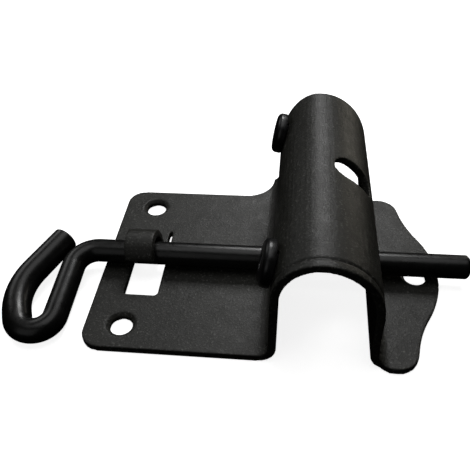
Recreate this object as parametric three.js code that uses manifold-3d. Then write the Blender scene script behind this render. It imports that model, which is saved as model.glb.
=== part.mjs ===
// Slide-bolt gate latch: one pressed sheet bracket with a half-round saddle for
// a gate post, a round bolt with a pigtail handle that slides and turns across
// it, and two button-head screws that hold the saddle to the post.
//
// Millimetres, +Z up. The origin is on the mounting face (the underside of the
// big flange), under the bolt. +X runs along the bolt towards its free end, and
// +Y runs along the saddle towards its overhanging end.

import * as THREE from "three";
import { mergeVertices } from "three/addons/utils/BufferGeometryUtils.js";
import Module from "manifold-3d";

// ---- driving dimensions ------------------------------------------------

const SHEET = 3.2; // thickness of the pressed sheet
const BEND_RADIUS = 4.0; // inner radius of the bend between flange and wall
const CURVE_STEPS = 14; // segments in a quarter turn of the big curves
const FINE_STEPS = 8; // segments in a quarter turn of the small curves
const PAST = 1; // how far a cut or a blank runs past the face that it meets

const PLATE = { left: -44, front: -46.4, back: 48.6, corner: 8 };

const SADDLE = {
  x: 50, // centre line of the saddle
  halfWidth: 16.6, // inside
  leftShoulder: { front: 34.2, back: 27.0 }, // height where the wall turns over
  rightShoulder: { front: 27.6, back: 25.0 },
  crown: 49.8, // highest point inside
  crownShift: -3.0, // the pressing crowns left of its centre line
  splay: { front: 0.5, back: 0.5 }, // how far the left wall leans out at its foot
  rightSplay: { front: 0.5, back: 2.0 },
  back: 62.2, // the saddle overhangs the flange there
  leftFoot: 22.8, // where the sheet is cut off beside the overhanging end
  leftFillet: 13.6,
  rightFoot: 22.4,
  rightFillet: 3.0,
};

// A groove rolled round the outside of the saddle sets off its front rim. It runs
// down both walls and fades out in the bends.
const GROOVE = { from: 3.2, to: 4.2, depth: 0.6, end: 50, fadeEnd: 68, above: 4 };

// The wing's outer edge runs round a bulge beside its hole, then in two slightly
// hollow flanks to a rounded lobe at each end.
const WING = {
  reach: 48.9, // from the saddle's centre line to the middle of the bulge
  bulgeRadius: 44,
  bulgeAngle: 30, // degrees of bulge each side of the middle
  flankRadius: 56,
  lobeRadius: 9,
  lobeAngle: 9.2, // degrees from straight out, where flank meets lobe
  frontLobeEnd: 131, // degrees where the front lobe runs into the saddle's foot
  backLobeEnd: 100,
};

const HOLE = { radius: 4.5, sinkRadius: 6.2, sinkDepth: 1.4, sides: 28 };
const PLATE_HOLES = [
  { x: -29.2, y: -34.9 },
  { x: -29.2, y: 37.1 },
];
const WING_HOLE = { x: SADDLE.x + 39.5, y: -0.3 };

const WINDOW = { left: -32.0, right: -17.8, front: -19.2, back: 20.1, corner: 1.5, steps: 3 };

const SLOT = {
  halfLength: 10.1,
  halfWidth: 6.1,
  x: SADDLE.x + 10.0, // centre, on the right shoulder
  y: 9.7,
  z: 45.5,
  tilt: 41, // degrees
  cutReach: 7, // each way from the centre, clear of the sheet
};

const BOLT = {
  radius: 5.0,
  height: 8.8, // axis above the mounting face
  end: SADDLE.x + 60.0,
  split: -27.0, // the sliding rod and the turning handle meet inside the guide
  chamfer: 1.0,
  clearance: 0.4, // round the bolt in the saddle's walls
  cutReach: 4, // how far its holes' cut runs out past each wall
  sides: 28,
};

const GUIDE = {
  left: -31.4,
  right: -19.0,
  hoopY: 0.6, // centre of the hoop, a little behind and above the bolt
  hoopZ: 9.5,
  hoopRadius: 7.6, // to the middle of the sheet
  noseAngle: 170, // degrees round the hoop, where it ends in front of the bolt
  footRadius: 5.0,
  root: 7.0, // runs back into the plate
  lean: -0.1, // sideways lean for each millimetre of height
};

const HANDLE = {
  gap: 0.3, // between the handle and the rod that it carries on from
  tilt: 4.7, // degrees that the eye hangs below the level of the bolt
  bendStart: -45.9,
  bendRadius: 9.5,
  legEnd: 35.1, // distance from the bolt's axis where the eye starts to turn
  eyeRadius: 7.7,
  eyeTurn: 157, // degrees
  backStraight: 3.6,
  backRadius: 28.0,
  backTurn: 46.3, // degrees
  tailStraight: 20.6,
  tailRadius: 5.7, // the bar is swollen from the eye to its tail
  swellFrom: 0.55, // as fractions of the centre line's length
  swellTo: 0.65,
  sides: 20,
  stepsPerTurn: 28, // in half a turn of each bend of the centre line
  rings: 84,
};

const SCREW = {
  headRadius: 8.8,
  headHeight: 4.2,
  headRound: 2.0,
  headDome: 0.3, // rise of the top face in its middle
  headEdge: 0.4, // chamfer under the head's rim
  headSides: 32,
  tipChamfer: 1.0,
  shankRadius: 4.0,
  shankLength: 7.5,
  holeClearance: 0.35,
  seatGap: 0.3,
  height: 39.0,
  tilt: 12, // degrees; the shoulder has started to turn over there
  frontY: -32.9,
  rearY: 49.4,
  socketRadius: 2.9,
  socketDepth: 2.4,
  cutReach: 8, // each way from the seat, clear of the sheet
};

// ---- helpers -----------------------------------------------------------

const wasm = await Module();
wasm.setup();

const rad = (degrees) => (degrees * Math.PI) / 180;

const X_AXIS = new THREE.Vector3(1, 0, 0);
const Y_AXIS = new THREE.Vector3(0, 1, 0);
const Z_AXIS = new THREE.Vector3(0, 0, 1);

function solidFrom(geometry) {
  const plain = geometry.index ? geometry.toNonIndexed() : geometry.clone();
  plain.deleteAttribute("normal");
  plain.deleteAttribute("uv");
  const welded = mergeVertices(plain, 1e-4);
  const mesh = new wasm.Mesh({
    numProp: 3,
    vertProperties: new Float32Array(welded.attributes.position.array),
    triVerts: new Uint32Array(welded.index.array),
  });
  return new wasm.Manifold(mesh);
}

function geometryFrom(solid) {
  const mesh = solid.getMesh();
  const geometry = new THREE.BufferGeometry();
  geometry.setAttribute("position", new THREE.BufferAttribute(mesh.vertProperties, 3));
  geometry.setIndex(new THREE.BufferAttribute(mesh.triVerts, 1));
  geometry.computeVertexNormals();
  return geometry;
}

function shapeFrom(points) {
  return new THREE.Shape(points.map(([x, y]) => new THREE.Vector2(x, y)));
}

// Points on an elliptical arc, angles in degrees, both ends included.
function arc(cx, cy, rx, ry, from, to, steps) {
  const points = [];
  for (let i = 0; i <= steps; i += 1) {
    const angle = rad(from + ((to - from) * i) / Math.max(1, steps));
    points.push([cx + rx * Math.cos(angle), cy + ry * Math.sin(angle)]);
  }
  return points;
}

// A section drawn in X and Z, run along Y between two values.
function alongY(points, from, to) {
  const geometry = new THREE.ExtrudeGeometry(shapeFrom(points), {
    depth: to - from,
    bevelEnabled: false,
  });
  const turn = new THREE.Matrix4().makeBasis(X_AXIS, Z_AXIS, Y_AXIS.clone().negate());
  geometry.applyMatrix4(turn);
  geometry.translate(0, to, 0);
  return geometry;
}

// The same, with straight lines joining one section to another at the far end.
function ruledAlongY(nearPoints, farPoints, from, to) {
  const geometry = alongY(nearPoints, from, to);
  const position = geometry.attributes.position;
  const middle = (from + to) / 2;
  for (let i = 0; i < position.count; i += 1) {
    const index = nearPoints.findIndex(
      ([x, z]) => Math.hypot(position.getX(i) - x, position.getZ(i) - z) < 1e-3,
    );
    if (position.getY(i) > middle) {
      position.setX(i, farPoints[index][0]);
      position.setZ(i, farPoints[index][1]);
    }
  }
  return geometry;
}

// A section drawn in Y and Z, run along X between two values.
function alongX(points, from, to) {
  const geometry = new THREE.ExtrudeGeometry(shapeFrom(points), {
    depth: to - from,
    bevelEnabled: false,
  });
  const turn = new THREE.Matrix4().makeBasis(Y_AXIS, Z_AXIS, X_AXIS);
  geometry.applyMatrix4(turn);
  geometry.translate(from, 0, 0);
  return geometry;
}

// A plan drawn in X and Y, run up along Z between two values.
function alongZ(points, from, to) {
  const geometry = new THREE.ExtrudeGeometry(shapeFrom(points), {
    depth: to - from,
    bevelEnabled: false,
  });
  geometry.translate(0, 0, from);
  return geometry;
}

// A body turned round an axis through `origin`; the profile is [radius, distance].
function turned(profile, sides, origin, direction) {
  const points = profile.map(([r, h]) => new THREE.Vector2(r, h));
  const geometry = new THREE.LatheGeometry(points, sides);
  const turn = new THREE.Quaternion().setFromUnitVectors(Y_AXIS, direction);
  geometry.applyQuaternion(turn);
  geometry.translate(origin.x, origin.y, origin.z);
  return geometry;
}

// ---- bracket -----------------------------------------------------------

// The saddle's surface, from the foot of the left wall over to the right foot,
// at `offset` outside its inner face. `end` is "front" or "back".
function saddleCurve(offset, end) {
  const { x, halfWidth, crown, crownShift } = SADDLE;
  const leftShoulder = SADDLE.leftShoulder[end];
  const rightShoulder = SADDLE.rightShoulder[end];
  const top = crown + offset;
  const centre = x + crownShift;
  const leftRun = halfWidth + offset + crownShift;
  const rightRun = halfWidth + offset - crownShift;
  const left = arc(centre, leftShoulder, leftRun, top - leftShoulder, 180, 90, CURVE_STEPS);
  const right = arc(centre, rightShoulder, rightRun, top - rightShoulder, 90, 0, CURVE_STEPS);
  return [...left, ...right.slice(1)];
}

// The sheet's whole section across the bolt: flange, bend, wall, saddle and back.
function sheetSection(end) {
  const { x, halfWidth, splay, rightSplay } = SADDLE;
  const outer = BEND_RADIUS;
  const inner = BEND_RADIUS + SHEET;
  const leftX = x - (halfWidth + SHEET + splay[end] + BEND_RADIUS);
  const rightX = x + (halfWidth + SHEET + rightSplay[end] + BEND_RADIUS);
  const bendZ = SHEET + BEND_RADIUS;
  const left = PLATE.left - PAST;
  const right = x + WING.reach + PAST;
  const upperSide = [
    [left, SHEET],
    ...arc(leftX, bendZ, outer, outer, -90, 0, FINE_STEPS),
    ...saddleCurve(SHEET, end),
    ...arc(rightX, bendZ, outer, outer, 180, 270, FINE_STEPS),
    [right, SHEET],
  ];
  const lowerSide = [
    [right, 0],
    ...arc(rightX, bendZ, inner, inner, 270, 180, FINE_STEPS),
    ...saddleCurve(0, end).reverse(),
    ...arc(leftX, bendZ, inner, inner, 0, -90, FINE_STEPS),
    [left, 0],
  ];
  return [...upperSide, ...lowerSide].reverse();
}

// One half of the wing's outer edge, from the middle of the bulge to where the
// end lobe has turned by `lobeEnd` degrees. `side` is 1 for the back half.
function wingEdge(side, lobeEnd) {
  const { reach, bulgeRadius, bulgeAngle, flankRadius, lobeRadius, lobeAngle } = WING;
  const bulgeX = reach - bulgeRadius;
  const flankX = bulgeX + (bulgeRadius + flankRadius) * Math.cos(rad(bulgeAngle));
  const flankY = (bulgeRadius + flankRadius) * Math.sin(rad(bulgeAngle));
  const lobeX = flankX - (flankRadius + lobeRadius) * Math.cos(rad(lobeAngle));
  const lobeY = flankY - (flankRadius + lobeRadius) * Math.sin(rad(lobeAngle));
  const flankFrom = 180 + bulgeAngle;
  const flankTo = 180 + lobeAngle;
  return [
    ...arc(bulgeX, 0, bulgeRadius, bulgeRadius, 0, bulgeAngle, FINE_STEPS),
    ...arc(flankX, flankY, flankRadius, flankRadius, flankFrom, flankTo, FINE_STEPS).slice(1),
    ...arc(lobeX, lobeY, lobeRadius, lobeRadius, lobeAngle, lobeEnd, FINE_STEPS * 2).slice(1),
  ].map(([x, y]) => [SADDLE.x + x, side * y]);
}

// The plan outline of the whole blank once it has been pressed.
function blankPlan() {
  const { left, front, back, corner } = PLATE;
  const { x, leftFoot, leftFillet, rightFoot, rightFillet } = SADDLE;
  const rightCorner = back + rightFillet;
  return [
    ...arc(left + corner, front + corner, corner, corner, 180, 270, FINE_STEPS),
    ...wingEdge(-1, WING.frontLobeEnd).reverse(),
    ...wingEdge(1, WING.backLobeEnd).slice(1),
    ...arc(x + rightFoot + rightFillet, rightCorner, rightFillet, rightFillet, 270, 180, FINE_STEPS),
    [x + rightFoot, SADDLE.back],
    [x - leftFoot, SADDLE.back],
    ...arc(x - leftFoot - leftFillet, back + leftFillet, leftFillet, leftFillet, 0, -90, FINE_STEPS),
    ...arc(left + corner, back - corner, corner, corner, 90, 180, FINE_STEPS),
  ];
}

function rimGroove() {
  const { from, to, depth, end, fadeEnd, above } = GROOVE;
  const bendX = SADDLE.halfWidth + SHEET + SADDLE.splay.front + BEND_RADIUS;
  const bendZ = SHEET + BEND_RADIUS;
  const radius = BEND_RADIUS + depth;
  const left = SADDLE.x - bendX;
  const right = SADDLE.x + bendX;
  const section = [
    [left, bendZ],
    ...arc(left, bendZ, BEND_RADIUS, BEND_RADIUS, -fadeEnd, -fadeEnd, 0),
    ...arc(left, bendZ, radius, radius, -end, 0, FINE_STEPS),
    ...saddleCurve(SHEET - depth, "front"),
    ...arc(right, bendZ, radius, radius, 180, 180 + end, FINE_STEPS),
    ...arc(right, bendZ, BEND_RADIUS, BEND_RADIUS, 180 + fadeEnd, 180 + fadeEnd, 0),
    [right, bendZ],
    ...saddleCurve(SHEET + above, "front").reverse(),
  ];
  return solidFrom(alongY(section, PLATE.front + from, PLATE.front + to));
}

function screwHole({ x, y }) {
  const profile = [
    [0, -PAST],
    [HOLE.radius, -PAST],
    [HOLE.radius, SHEET - HOLE.sinkDepth],
    [HOLE.sinkRadius, SHEET],
    [HOLE.sinkRadius, SHEET + PAST],
    [0, SHEET + PAST],
  ];
  return solidFrom(turned(profile, HOLE.sides, new THREE.Vector3(x, y, 0), Z_AXIS));
}

function windowCut() {
  const { left, right, front, back, corner, steps } = WINDOW;
  const plan = [
    ...arc(left + corner, front + corner, corner, corner, 180, 270, steps),
    ...arc(right - corner, front + corner, corner, corner, 270, 360, steps),
    ...arc(right - corner, back - corner, corner, corner, 0, 90, steps),
    ...arc(left + corner, back - corner, corner, corner, 90, 180, steps),
  ];
  return solidFrom(alongZ(plan, -PAST, SHEET + PAST));
}

// The round-ended slot is punched square to the saddle's right shoulder.
function slotCut() {
  const { halfLength, halfWidth, x, y, z, tilt, cutReach } = SLOT;
  const run = halfLength - halfWidth;
  const plan = [
    ...arc(run, 0, halfWidth, halfWidth, -90, 90, FINE_STEPS * 2),
    ...arc(-run, 0, halfWidth, halfWidth, 90, 270, FINE_STEPS * 2),
  ];
  const geometry = alongZ(plan, -cutReach, cutReach);
  geometry.rotateY(rad(tilt));
  geometry.translate(x, y, z);
  return solidFrom(geometry);
}

function boltHoles() {
  const radius = BOLT.radius + BOLT.clearance;
  const reach = SADDLE.halfWidth + SHEET + BOLT.cutReach;
  const circle = arc(0, BOLT.height, radius, radius, 0, 360, BOLT.sides).slice(0, -1);
  return solidFrom(alongX(circle, SADDLE.x - reach, SADDLE.x + reach));
}

// The sheet tab lifted out of the window and rolled forward over the bolt, from
// its nose in front of the bolt to its root behind.
function guideSection() {
  const { hoopY, hoopZ, hoopRadius, noseAngle, footRadius, root } = GUIDE;
  const half = SHEET / 2;
  const footY = hoopY + hoopRadius + footRadius;
  const footZ = half + footRadius;
  const side = (offset) => {
    const hoop = hoopRadius + offset;
    const foot = footRadius - offset;
    return [
      ...arc(hoopY, hoopZ, hoop, hoop, noseAngle, 0, FINE_STEPS * 2),
      ...arc(footY, footZ, foot, foot, 180, 270, FINE_STEPS),
      [footY + root, half + offset],
    ];
  };
  return [...side(half), ...side(-half).reverse()].reverse();
}

function guideStrap() {
  const geometry = alongX(guideSection(), GUIDE.left, GUIDE.right);
  const shear = new THREE.Matrix4().set(
    1, 0, GUIDE.lean, 0,
    0, 1, 0, 0,
    0, 0, 1, 0,
    0, 0, 0, 1,
  );
  geometry.applyMatrix4(shear);
  return solidFrom(geometry);
}

function screwAxis() {
  return new THREE.Vector3(-Math.cos(rad(SCREW.tilt)), 0, Math.sin(rad(SCREW.tilt)));
}

// Where a screw's axis leaves the outer face of the left shoulder.
function screwSeat(y) {
  const { x, halfWidth, crown, crownShift, back } = SADDLE;
  const along = (y - PLATE.front) / (back - PLATE.front);
  const { front: near, back: far } = SADDLE.leftShoulder;
  const leftShoulder = near + (far - near) * along;
  const run = halfWidth + SHEET + crownShift;
  const rise = crown + SHEET - leftShoulder;
  const sine = (SCREW.height - leftShoulder) / rise;
  return new THREE.Vector3(x + crownShift - run * Math.sqrt(1 - sine * sine), y, SCREW.height);
}

function screwCut(y) {
  const { cutReach, headSides } = SCREW;
  const radius = SCREW.shankRadius + SCREW.holeClearance;
  const profile = [
    [0, -cutReach],
    [radius, -cutReach],
    [radius, cutReach],
    [0, cutReach],
  ];
  return solidFrom(turned(profile, headSides, screwSeat(y), screwAxis()));
}

function bracketGeometry() {
  const sections = ["front", "back"].map(sheetSection);
  const section = solidFrom(ruledAlongY(...sections, PLATE.front - WING.lobeRadius, SADDLE.back));
  const top = SADDLE.crown + SHEET;
  const plan = solidFrom(alongZ(blankPlan(), -PAST, top + PAST));
  let body = section.intersect(plan).subtract(windowCut()).add(guideStrap());
  const cuts = [
    rimGroove(),
    slotCut(),
    boltHoles(),
    screwCut(SCREW.frontY),
    screwCut(SCREW.rearY),
    screwHole(WING_HOLE),
    ...PLATE_HOLES.map(screwHole),
  ];
  cuts.forEach((cut) => {
    body = body.subtract(cut);
  });
  return geometryFrom(body);
}

// ---- bolt --------------------------------------------------------------

function rodGeometry() {
  const { radius, end, split, chamfer, sides } = BOLT;
  const length = end - split;
  const profile = [
    [0, 0],
    [radius, 0],
    [radius, length - chamfer],
    [radius - chamfer, length],
    [0, length],
  ];
  return turned(profile, sides, new THREE.Vector3(split, 0, BOLT.height), X_AXIS);
}

// The handle's centre line, walked in its own plane: x along the bolt and
// v away from the bolt's axis.
function handleRoute() {
  const points = [];
  let x = BOLT.split - HANDLE.gap;
  let v = 0;
  let heading = 180;
  const note = () => {
    points.push(
      new THREE.Vector3(
        x,
        -v * Math.cos(rad(HANDLE.tilt)),
        BOLT.height - v * Math.sin(rad(HANDLE.tilt)),
      ),
    );
  };
  const straight = (length, count) => {
    for (let i = 1; i <= count; i += 1) {
      x += (length / count) * Math.cos(rad(heading));
      v += (length / count) * Math.sin(rad(heading));
      note();
    }
  };
  const bend = (radius, turn) => {
    const count = Math.max(4, Math.round((HANDLE.stepsPerTurn * Math.abs(turn)) / 180));
    const side = Math.sign(turn);
    const cx = x - side * radius * Math.sin(rad(heading));
    const cv = v + side * radius * Math.cos(rad(heading));
    for (let i = 1; i <= count; i += 1) {
      const now = heading + (turn * i) / count;
      x = cx + side * radius * Math.sin(rad(now));
      v = cv - side * radius * Math.cos(rad(now));
      note();
    }
    heading += turn;
  };
  note();
  straight(x - HANDLE.bendStart, 4);
  bend(HANDLE.bendRadius, -90);
  straight(HANDLE.legEnd - HANDLE.bendRadius, 5);
  bend(HANDLE.eyeRadius, HANDLE.eyeTurn);
  straight(HANDLE.backStraight, 2);
  bend(HANDLE.backRadius, HANDLE.backTurn);
  straight(HANDLE.tailStraight, 3);
  return new THREE.CatmullRomCurve3(points, false, "centripetal");
}

// Moves a swept bar's points out from its centre line, where the bar is swollen.
function swell(geometry, route) {
  const { rings, swellFrom, swellTo, tailRadius } = HANDLE;
  const centres = route.getSpacedPoints(rings);
  const position = geometry.attributes.position;
  for (let i = 0; i < position.count; i += 1) {
    const point = new THREE.Vector3().fromBufferAttribute(position, i);
    const distances = centres.map((centre) => centre.distanceTo(point));
    const nearest = distances.indexOf(Math.min(...distances));
    const grown = THREE.MathUtils.smoothstep(nearest / rings, swellFrom, swellTo);
    const factor = THREE.MathUtils.lerp(1, tailRadius / BOLT.radius, grown);
    point.sub(centres[nearest]).multiplyScalar(factor).add(centres[nearest]);
    position.setXYZ(i, point.x, point.y, point.z);
  }
  return geometry;
}

function handleGeometry() {
  const circle = arc(0, 0, BOLT.radius, BOLT.radius, 0, 360, HANDLE.sides).slice(0, -1);
  const route = handleRoute();
  const bar = new THREE.ExtrudeGeometry(shapeFrom(circle), {
    extrudePath: route,
    steps: HANDLE.rings,
    bevelEnabled: false,
  });
  return swell(bar, route);
}

// ---- screws ------------------------------------------------------------

function screwGeometry(y) {
  const { headRadius, headHeight, headRound, headDome, headEdge, headSides } = SCREW;
  const { shankRadius, shankLength, tipChamfer } = SCREW;
  const rim = headHeight - headRound;
  const profile = [
    [0, -shankLength],
    [shankRadius - tipChamfer, -shankLength],
    [shankRadius, -shankLength + tipChamfer],
    [shankRadius, 0],
    [headRadius - headEdge, 0],
    [headRadius, headEdge],
    ...arc(headRadius - headRound, rim, headRound, headRound, 0, 90, FINE_STEPS),
    [0, headHeight + headDome],
  ];
  const axis = screwAxis();
  const seat = screwSeat(y).addScaledVector(axis, SCREW.seatGap);
  const body = solidFrom(turned(profile, headSides, seat, axis));
  const socket = [
    [0, headHeight - SCREW.socketDepth],
    [SCREW.socketRadius, headHeight - SCREW.socketDepth],
    [SCREW.socketRadius, headHeight + PAST],
    [0, headHeight + PAST],
  ];
  return geometryFrom(body.subtract(solidFrom(turned(socket, 6, seat, axis))));
}

// ---- assembly ----------------------------------------------------------

const COLOURS = { coating: 0x2f302c, bolt: 0x1c1c1b, screw: 0x18181a };

function piece(name, geometry, colour, roughness) {
  const material = new THREE.MeshStandardMaterial({ color: colour, roughness, metalness: 0.35 });
  const mesh = new THREE.Mesh(geometry, material);
  mesh.name = name;
  return mesh;
}

const group = new THREE.Group();
group.add(piece("saddle_bracket", bracketGeometry(), COLOURS.coating, 0.55));
group.add(piece("bolt_rod", rodGeometry(), COLOURS.bolt, 0.35));
group.add(piece("bolt_pigtail_handle", handleGeometry(), COLOURS.bolt, 0.35));
group.add(piece("front_post_screw", screwGeometry(SCREW.frontY), COLOURS.screw, 0.4));
group.add(piece("rear_post_screw", screwGeometry(SCREW.rearY), COLOURS.screw, 0.4));

export default group;
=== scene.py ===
"""A slide-bolt gate latch in a studio: a powder-coated pressed bracket with a
post saddle, a black bent bolt that slides and turns in it, and two button-head
screws. Metres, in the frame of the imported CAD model."""

import math

import bmesh
import bpy
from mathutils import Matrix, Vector

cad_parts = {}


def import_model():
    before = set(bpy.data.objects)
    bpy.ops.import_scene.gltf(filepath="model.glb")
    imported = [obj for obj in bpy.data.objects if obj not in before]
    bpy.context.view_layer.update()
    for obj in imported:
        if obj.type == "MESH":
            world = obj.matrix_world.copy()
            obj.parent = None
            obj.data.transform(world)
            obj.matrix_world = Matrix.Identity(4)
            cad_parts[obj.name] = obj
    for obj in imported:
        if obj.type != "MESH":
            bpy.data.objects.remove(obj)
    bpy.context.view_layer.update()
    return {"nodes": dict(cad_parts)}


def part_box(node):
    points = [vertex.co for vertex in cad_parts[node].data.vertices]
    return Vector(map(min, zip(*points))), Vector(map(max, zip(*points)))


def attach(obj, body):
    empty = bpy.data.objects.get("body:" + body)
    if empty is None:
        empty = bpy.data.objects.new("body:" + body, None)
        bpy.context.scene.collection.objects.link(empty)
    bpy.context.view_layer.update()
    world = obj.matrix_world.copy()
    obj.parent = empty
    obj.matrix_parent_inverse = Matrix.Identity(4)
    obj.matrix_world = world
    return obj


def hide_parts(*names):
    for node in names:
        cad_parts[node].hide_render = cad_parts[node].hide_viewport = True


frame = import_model()

MM = 0.001

# ---- dimensions of the pieces built here, in metres -----------------------

BOLT_AXIS_Z = 8.8 * MM
BOLT_RADIUS = 5.0 * MM
BOLT_END_X = 110.0 * MM
BOLT_SPLIT_X = -27.0 * MM
BOLT_SIDES = 64
ROD_STEPS = 60
SPLIT_EDGE = 0.15 * MM
SPLIT_STEPS = 3
# The free end's worn chamfer, as (distance in from the end, radius) pairs.
ROD_END = [
    (0.0, 1.9 * MM),
    (0.0, 3.75 * MM),
    (0.04 * MM, 4.0 * MM),
    (0.20 * MM, 4.22 * MM),
    (0.80 * MM, 4.80 * MM),
    (1.05 * MM, 4.96 * MM),
    (1.35 * MM, BOLT_RADIUS),
]

# The handle's centre line, as in the CAD: lengths, radii and turns in order.
HANDLE_TILT = math.radians(4.7)
HANDLE_STEPS = [
    ("straight", 18.9 * MM),
    ("bend", 9.5 * MM, -90.0),
    ("straight", 25.6 * MM),
    ("bend", 7.7 * MM, 157.0),
    ("straight", 3.6 * MM),
    ("bend", 28.0 * MM, 46.3),
    ("straight", 20.6 * MM),
]
HANDLE_TAIL_RADIUS = 5.7 * MM
HANDLE_SWELL = (0.55, 0.65)  # where the bar swells, in parts of its length
HANDLE_SPACING = 0.8 * MM  # between the rings of the swept mesh
TAIL_EDGE = 0.7 * MM
TAIL_STEPS = 6

HEAD_RADIUS = 8.8 * MM
HEAD_HEIGHT = 4.2 * MM
HEAD_ROUND = 2.0 * MM
HEAD_DOME = 0.25 * MM  # rise of the head's top at the mouth of its socket
HEAD_STEPS = 9
SHANK_RADIUS = 4.0 * MM
SHANK_LENGTH = 7.5 * MM
SOCKET_RADIUS = 2.9 * MM
SOCKET_DEPTH = 2.4 * MM
SCREW_TILT = math.radians(12)
SCREW_SIDES = 72

BRACKET_WELD = 1e-6
BRACKET_VOXEL = 0.45 * MM
BRACKET_SMOOTH = 5


# ---- helpers --------------------------------------------------------------


def link(name, mesh):
    piece = bpy.data.objects.new(name, mesh)
    bpy.context.scene.collection.objects.link(piece)
    return piece


def mesh_from(name, vertices, faces):
    mesh = bpy.data.meshes.new(name)
    mesh.from_pydata([tuple(v) for v in vertices], [], faces)
    work = bmesh.new()
    work.from_mesh(mesh)
    bmesh.ops.recalc_face_normals(work, faces=work.faces)
    work.to_mesh(mesh)
    work.free()
    mesh.shade_smooth()
    return mesh


def ring_faces(rings, sides):
    """Quads between neighbouring rings, and a fan at each end."""
    faces = []
    for ring in range(rings - 1):
        for side in range(sides):
            after = (side + 1) % sides
            low = ring * sides
            high = low + sides
            faces.append((low + side, low + after, high + after, high + side))
    first = rings * sides
    last = first + 1
    top = (rings - 1) * sides
    for side in range(sides):
        after = (side + 1) % sides
        faces.append((first, after, side))
        faces.append((last, top + side, top + after))
    return faces


def swept_bar(name, route, radii, sides, start_edge, end_edge):
    """A round bar along a route, with a radius at each of its points. Each edge
    is a list of (distance in from the end, radius) pairs, outermost first."""
    tangents = []
    for i, _ in enumerate(route):
        before = route[max(0, i - 1)]
        after = route[min(len(route) - 1, i + 1)]
        tangents.append((after - before).normalized())
    rings = []
    for inset, ring_radius in start_edge:
        rings.append((route[0] + tangents[0] * inset, tangents[0], ring_radius))
    for i in range(1, len(route) - 1):
        rings.append((route[i], tangents[i], radii[i]))
    for inset, ring_radius in reversed(end_edge):
        rings.append((route[-1] - tangents[-1] * inset, tangents[-1], ring_radius))
    side_way = Vector((0, 0, 1)).cross(rings[0][1]).normalized()
    vertices = []
    for centre, tangent, ring_radius in rings:
        side_way = (side_way - tangent * side_way.dot(tangent)).normalized()
        up_way = tangent.cross(side_way)
        for side in range(sides):
            angle = 2 * math.pi * side / sides
            reach = side_way * math.cos(angle) + up_way * math.sin(angle)
            vertices.append(centre + reach * ring_radius)
    vertices.append(rings[0][0])
    vertices.append(rings[-1][0])
    return mesh_from(name, vertices, ring_faces(len(rings), sides))


def rounded_rim(radius, edge, steps):
    """Ring pairs for swept_bar: a flat end with its edge rounded off."""
    pairs = [(0.0, (radius - edge) * 0.5)]
    for i in range(steps + 1):
        angle = math.pi / 2 * i / steps
        inset = edge * (1 - math.cos(angle))
        pairs.append((inset, radius - edge * (1 - math.sin(angle))))
    return pairs


# ---- materials ------------------------------------------------------------


class Nodes:
    """A short way to write one material's node tree."""

    def __init__(self, name):
        self.material = bpy.data.materials.new(name)
        self.material.use_nodes = True
        self.tree = self.material.node_tree
        self.shader = self.tree.nodes["Principled BSDF"]
        self.place = self.add("ShaderNodeTexCoord").outputs["Object"]

    def add(self, kind, **values):
        node = self.tree.nodes.new(kind)
        for key, value in values.items():
            if hasattr(node, key):
                setattr(node, key, value)
            else:
                node.inputs[key.replace("_", " ")].default_value = value
        return node

    def join(self, output, socket):
        self.tree.links.new(output, socket)

    def noise(self, size, detail=4.0, rough=0.55):
        node = self.add("ShaderNodeTexNoise", Scale=1.0 / size, Detail=detail, Roughness=rough)
        self.join(self.place, node.inputs["Vector"])
        return node.outputs["Fac"]

    def ramp(self, value, stops):
        """Maps a number to a colour or a grey through (position, colour) stops."""
        node = self.add("ShaderNodeValToRGB")
        band = node.color_ramp
        while len(band.elements) < len(stops):
            band.elements.new(0.5)
        for element, (position, colour) in zip(band.elements, stops):
            element.position = position
            grey = isinstance(colour, float)
            element.color = (colour, colour, colour, 1) if grey else (*colour, 1)
        self.join(value, node.inputs["Fac"])
        return node.outputs["Color"]

    def mix(self, factor, first, second):
        node = self.add("ShaderNodeMix", data_type="RGBA")
        self.join(factor, node.inputs["Factor"])
        self.join(first, node.inputs["A"])
        self.join(second, node.inputs["B"])
        return node.outputs["Result"]

    def bump(self, height, depth, strength, under=None):
        node = self.add("ShaderNodeBump", Distance=depth, Strength=strength)
        self.join(height, node.inputs["Height"])
        if under is not None:
            self.join(under, node.inputs["Normal"])
        return node.outputs["Normal"]

    def edges(self, low, high):
        """0 on flat surfaces, 1 on worn outer edges."""
        pointy = self.add("ShaderNodeNewGeometry").outputs["Pointiness"]
        return self.ramp(pointy, [(low, 0.0), (high, 1.0)])


def bracket_coating():
    n = Nodes("olive_black_powder_coat")
    cloud = n.noise(14 * MM, 5.0, 0.6)
    base = n.ramp(cloud, [(0.30, (0.0095, 0.0096, 0.0080)), (0.72, (0.0170, 0.0170, 0.0145))])
    grain = n.noise(1.0 * MM, 4.0, 0.75)
    speck_mask = n.ramp(grain, [(0.56, 0.0), (0.68, 1.0)])
    speck = n.ramp(cloud, [(0.0, (0.055, 0.055, 0.050)), (1.0, (0.100, 0.100, 0.092))])
    coloured = n.mix(speck_mask, base, speck)
    worn = n.ramp(cloud, [(0.0, (0.020, 0.020, 0.018)), (1.0, (0.040, 0.040, 0.036))])
    wear = n.edges(0.53, 0.62)
    n.join(n.mix(wear, coloured, worn), n.shader.inputs["Base Color"])
    rough = n.ramp(n.noise(5 * MM, 6.0, 0.6), [(0.25, 0.36), (0.75, 0.52)])
    n.join(rough, n.shader.inputs["Roughness"])
    peel = n.bump(n.noise(2.2 * MM, 3.0, 0.5), 0.10 * MM, 0.6)
    n.join(n.bump(grain, 0.15 * MM, 1.0, peel), n.shader.inputs["Normal"])
    n.shader.inputs["Specular IOR Level"].default_value = 0.22
    return n.material


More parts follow.
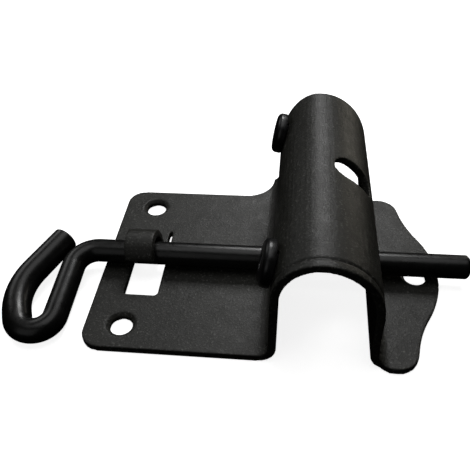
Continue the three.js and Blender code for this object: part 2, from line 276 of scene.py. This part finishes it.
def bolt_paint():
    n = Nodes("semi_gloss_black_bolt")
    cloud = n.noise(9 * MM, 5.0, 0.6)
    base = n.ramp(cloud, [(0.30, (0.0025, 0.0025, 0.0024)), (0.75, (0.006, 0.006, 0.0057))])
    worn = n.ramp(cloud, [(0.0, (0.012, 0.012, 0.0115)), (1.0, (0.025, 0.025, 0.024))])
    wear = n.edges(0.54, 0.66)
    n.join(n.mix(wear, base, worn), n.shader.inputs["Base Color"])
    rough = n.ramp(n.noise(3.5 * MM, 6.0, 0.65), [(0.25, 0.24), (0.75, 0.38)])
    n.join(rough, n.shader.inputs["Roughness"])
    wave = n.bump(n.noise(4.0 * MM, 3.0, 0.5), 0.12 * MM, 0.5)
    n.join(n.bump(n.noise(0.6 * MM, 3.0, 0.6), 0.02 * MM, 0.5, wave), n.shader.inputs["Normal"])
    n.shader.inputs["Specular IOR Level"].default_value = 0.3
    return n.material


def screw_oxide():
    n = Nodes("black_oxide_screw")
    cloud = n.noise(4 * MM, 5.0, 0.6)
    base = n.ramp(cloud, [(0.30, (0.003, 0.003, 0.0034)), (0.75, (0.007, 0.007, 0.0078))])
    worn = n.ramp(cloud, [(0.0, (0.02, 0.02, 0.021)), (1.0, (0.04, 0.04, 0.042))])
    wear = n.edges(0.53, 0.64)
    n.join(n.mix(wear, base, worn), n.shader.inputs["Base Color"])
    rough = n.ramp(n.noise(1.8 * MM, 6.0, 0.65), [(0.25, 0.26), (0.75, 0.42)])
    n.join(rough, n.shader.inputs["Roughness"])
    n.join(n.bump(n.noise(0.5 * MM, 4.0, 0.6), 0.02 * MM, 0.6), n.shader.inputs["Normal"])
    n.shader.inputs["Metallic"].default_value = 0.3
    return n.material


def studio_floor():
    n = Nodes("pale_studio_floor")
    tone = n.ramp(n.noise(0.4, 2.0, 0.5), [(0.0, (0.86, 0.86, 0.86)), (1.0, (0.88, 0.88, 0.88))])
    n.join(tone, n.shader.inputs["Base Color"])
    n.shader.inputs["Roughness"].default_value = 0.9
    n.shader.inputs["Specular IOR Level"].default_value = 0.1
    n.shader.inputs["Emission Color"].default_value = (1, 1, 1, 1)
    n.shader.inputs["Emission Strength"].default_value = FLOOR_GLOW
    return n.material


# ---- pieces ---------------------------------------------------------------


def bracket_piece(material):
    """The pressed sheet, with the small radii that pressing and coating give."""
    shape = frame["nodes"]["saddle_bracket"].data.copy()
    work = bmesh.new()
    work.from_mesh(shape)
    bmesh.ops.remove_doubles(work, verts=work.verts, dist=BRACKET_WELD)
    work.to_mesh(shape)
    work.free()
    piece = link("coated_bracket", shape)
    remesh = piece.modifiers.new("even_mesh", "REMESH")
    remesh.mode = "VOXEL"
    remesh.voxel_size = BRACKET_VOXEL
    smooth = piece.modifiers.new("soft_edges", "SMOOTH")
    smooth.factor = 0.5
    smooth.iterations = BRACKET_SMOOTH
    bpy.context.view_layer.update()
    done = piece.evaluated_get(bpy.context.evaluated_depsgraph_get())
    final = bpy.data.meshes.new_from_object(done)
    piece.modifiers.clear()
    piece.data = final
    final.shade_smooth()
    final.materials.clear()
    final.materials.append(material)
    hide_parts("saddle_bracket")
    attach(piece, "bracket")
    return piece


def rod_piece(material):
    start = Vector((BOLT_SPLIT_X, 0, BOLT_AXIS_Z))
    end = Vector((BOLT_END_X, 0, BOLT_AXIS_Z))
    route = [start.lerp(end, i / ROD_STEPS) for i in range(ROD_STEPS + 1)]
    radii = [BOLT_RADIUS] * len(route)
    split = rounded_rim(BOLT_RADIUS, SPLIT_EDGE, SPLIT_STEPS)
    mesh = swept_bar("sliding_bolt_rod", route, radii, BOLT_SIDES, split, ROD_END)
    piece = link("sliding_bolt_rod", mesh)
    mesh.materials.append(material)
    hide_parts("bolt_rod")
    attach(piece, "bolt")
    return piece


def handle_route():
    x, away, heading = BOLT_SPLIT_X, 0.0, math.pi
    flat = [(x, away)]
    for step in HANDLE_STEPS:
        if step[0] == "straight":
            count = max(2, round(step[1] / HANDLE_SPACING))
            for _ in range(count):
                x += step[1] / count * math.cos(heading)
                away += step[1] / count * math.sin(heading)
                flat.append((x, away))
        else:
            radius, turn = step[1], math.radians(step[2])
            side = math.copysign(1, turn)
            centre_x = x - side * radius * math.sin(heading)
            centre_y = away + side * radius * math.cos(heading)
            count = max(4, round(radius * abs(turn) / HANDLE_SPACING))
            for i in range(1, count + 1):
                now = heading + turn * i / count
                x = centre_x + side * radius * math.sin(now)
                away = centre_y - side * radius * math.cos(now)
                flat.append((x, away))
            heading += turn
    across, down = math.cos(HANDLE_TILT), math.sin(HANDLE_TILT)
    return [Vector((px, -v * across, BOLT_AXIS_Z - v * down)) for px, v in flat]


def swollen(route):
    """The handle's radius at each point: thicker from the eye to the tail."""
    low, high = HANDLE_SWELL
    radii = []
    for i, _ in enumerate(route):
        share = min(1, max(0, (i / (len(route) - 1) - low) / (high - low)))
        grown = share * share * (3 - 2 * share)
        radii.append(BOLT_RADIUS + grown * (HANDLE_TAIL_RADIUS - BOLT_RADIUS))
    return radii


def handle_piece(material):
    split = rounded_rim(BOLT_RADIUS, SPLIT_EDGE, SPLIT_STEPS)
    tail = rounded_rim(HANDLE_TAIL_RADIUS, TAIL_EDGE, TAIL_STEPS)
    route = handle_route()
    mesh = swept_bar("bolt_pigtail", route, swollen(route), BOLT_SIDES, split, tail)
    piece = link("bolt_pigtail", mesh)
    mesh.materials.append(material)
    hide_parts("bolt_pigtail_handle")
    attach(piece, "handle")
    return piece


def hexagon_reach(angle):
    """How far a hexagon of unit corner radius reaches at an angle."""
    sector = math.pi / 3
    inside = (angle % sector) - sector / 2
    return math.cos(sector / 2) / math.cos(inside)


def screw_profile():
    """A button-head screw's outline from its tip up over the head and down into
    the socket, as (radius, height over the seat, how hexagonal) rows."""
    profile = [
        (SHANK_RADIUS - 1.3 * MM, -SHANK_LENGTH, 0.0),
        (SHANK_RADIUS - 1.0 * MM, -SHANK_LENGTH + 0.1 * MM, 0.0),
        (SHANK_RADIUS - 0.1 * MM, -SHANK_LENGTH + 1.0 * MM, 0.0),
        (SHANK_RADIUS, -SHANK_LENGTH + 1.4 * MM, 0.0),
        (SHANK_RADIUS, -0.1 * MM, 0.0),
        (SHANK_RADIUS + 0.2 * MM, 0.0, 0.0),
        (HEAD_RADIUS - 0.5 * MM, 0.0, 0.0),
        (HEAD_RADIUS - 0.15 * MM, 0.1 * MM, 0.0),
        (HEAD_RADIUS, 0.5 * MM, 0.0),
    ]
    flat = HEAD_RADIUS - HEAD_ROUND
    rim = HEAD_HEIGHT - HEAD_ROUND
    for i in range(HEAD_STEPS + 1):
        angle = math.pi / 2 * i / HEAD_STEPS
        reach = flat + HEAD_ROUND * math.cos(angle)
        profile.append((reach, rim + HEAD_ROUND * math.sin(angle), 0.0))
    mouth = SOCKET_RADIUS + 0.5 * MM
    top = HEAD_HEIGHT + HEAD_DOME
    bottom = HEAD_HEIGHT - SOCKET_DEPTH
    profile += [
        ((flat + mouth) / 2, HEAD_HEIGHT + HEAD_DOME * 0.6, 0.0),
        (mouth, top, 0.0),
        (SOCKET_RADIUS + 0.2 * MM, top - 0.08 * MM, 0.6),
        (SOCKET_RADIUS, HEAD_HEIGHT - 0.15 * MM, 1.0),
        (SOCKET_RADIUS, bottom + 0.1 * MM, 1.0),
        (SOCKET_RADIUS - 0.15 * MM, bottom, 1.0),
        (SOCKET_RADIUS * 0.5, bottom - 0.2 * MM, 1.0),
    ]
    return profile


def screw_piece(name, node, material):
    """A screw lathed in place of a CAD one, tilted as that one is."""
    low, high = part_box(node)
    profile = screw_profile()
    axis = Vector((-math.cos(SCREW_TILT), 0, math.sin(SCREW_TILT)))
    across = Vector((0, 1, 0))
    up = axis.cross(across)
    middle_y = (low.y + high.y) / 2
    vertices = []
    for reach, along, hexed in profile:
        for side in range(SCREW_SIDES):
            angle = 2 * math.pi * side / SCREW_SIDES
            size = reach * (1 - hexed + hexed * hexagon_reach(angle))
            way = across * math.cos(angle) + up * math.sin(angle)
            vertices.append(way * size + axis * along)
    vertices.append(axis * profile[0][1])
    vertices.append(axis * profile[-1][1])
    top = max(v.z for v in vertices)
    left = min(v.x for v in vertices)
    seat = Vector((low.x - left, middle_y, high.z - top))
    vertices = [v + seat for v in vertices]
    mesh = mesh_from(name, vertices, ring_faces(len(profile), SCREW_SIDES))
    mesh.materials.append(material)
    piece = link(name, mesh)
    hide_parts(node)
    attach(piece, "bracket")
    return piece


# ---- stage ----------------------------------------------------------------

CAMERA_PLACE = (0.036404, -0.173636, 0.183481)
CAMERA_TURN_DEGREES = (47.185, 1.918, 5.683)
CAMERA_LENS = 44.19
SENSOR_WIDTH = 36.0
CLIP_START = 5.0 * MM

FLOOR_DROP = 0.05 * MM
FLOOR_HALF = 1.5
FLOOR_GLOW = 0.86
WORLD_STRENGTH = 0.92

LIGHT_TARGET = (0.03, 0.0, 0.02)
WHITE = (1.0, 1.0, 1.0)
WARM = (1.0, 0.93, 0.8)
# Name, place, size, watts and colour of each area light.
LIGHTS = [
    ("softbox", (0.07, 0.58, 0.58), (0.25, 0.25), 3.4, WHITE),
    ("overhead", (0.05, 0.10, 0.95), (0.7, 0.7), 2.6, WHITE),
    ("side", (-0.50, 0.40, 0.40), (0.3, 0.3), 0.6, WHITE),
    ("front", (-0.35, -0.75, 0.55), (0.8, 0.8), 0.9, WHITE),
    ("edge", (0.45, 0.55, 0.12), (0.3, 0.2), 0.4, WARM),
]


def camera():
    data = bpy.data.cameras.new("camera")
    data.lens = CAMERA_LENS
    data.sensor_width = SENSOR_WIDTH
    data.clip_start = CLIP_START
    eye = bpy.data.objects.new("camera", data)
    eye.location = CAMERA_PLACE
    eye.rotation_euler = [math.radians(a) for a in CAMERA_TURN_DEGREES]
    bpy.context.scene.collection.objects.link(eye)
    bpy.context.scene.camera = eye


def floor():
    """The pale floor. No light from it reaches the pieces, which stay dark."""
    h = FLOOR_HALF
    corners = [(-h, -h, 0), (h, -h, 0), (h, h, 0), (-h, h, 0)]
    mesh = mesh_from("studio_floor", corners, [(0, 1, 2, 3)])
    mesh.materials.append(studio_floor())
    plane = link("studio_floor", mesh)
    plane.location = (0, 0, -FLOOR_DROP)
    plane.visible_glossy = False
    plane.visible_diffuse = False


def area_light(name, place, size, watts, colour):
    data = bpy.data.lights.new(name, "AREA")
    data.shape = "RECTANGLE"
    data.size, data.size_y = size
    data.energy = watts
    data.color = colour
    lamp = bpy.data.objects.new(name, data)
    lamp.location = place
    aim = Vector(LIGHT_TARGET) - Vector(place)
    lamp.rotation_euler = aim.to_track_quat("-Z", "Y").to_euler()
    bpy.context.scene.collection.objects.link(lamp)


def world():
    """A pale backdrop that the camera sees and the pieces aren't lit by."""
    studio = bpy.data.worlds.new("studio")
    studio.use_nodes = True
    back = studio.node_tree.nodes["Background"]
    back.inputs["Color"].default_value = (1, 1, 1, 1)
    back.inputs["Strength"].default_value = WORLD_STRENGTH
    bpy.context.scene.world = studio
    studio.cycles_visibility.diffuse = False
    studio.cycles_visibility.glossy = False
    bpy.context.scene.view_settings.view_transform = "Standard"


# ---- the scene ------------------------------------------------------------

camera()
floor()
world()
for light in LIGHTS:
    area_light(*light)
bracket_piece(bracket_coating())
bolt_material = bolt_paint()
rod_piece(bolt_material)
handle_piece(bolt_material)
screw_material = screw_oxide()
screw_piece("front_button_screw", "front_post_screw", screw_material)
screw_piece("rear_button_screw", "rear_post_screw", screw_material)
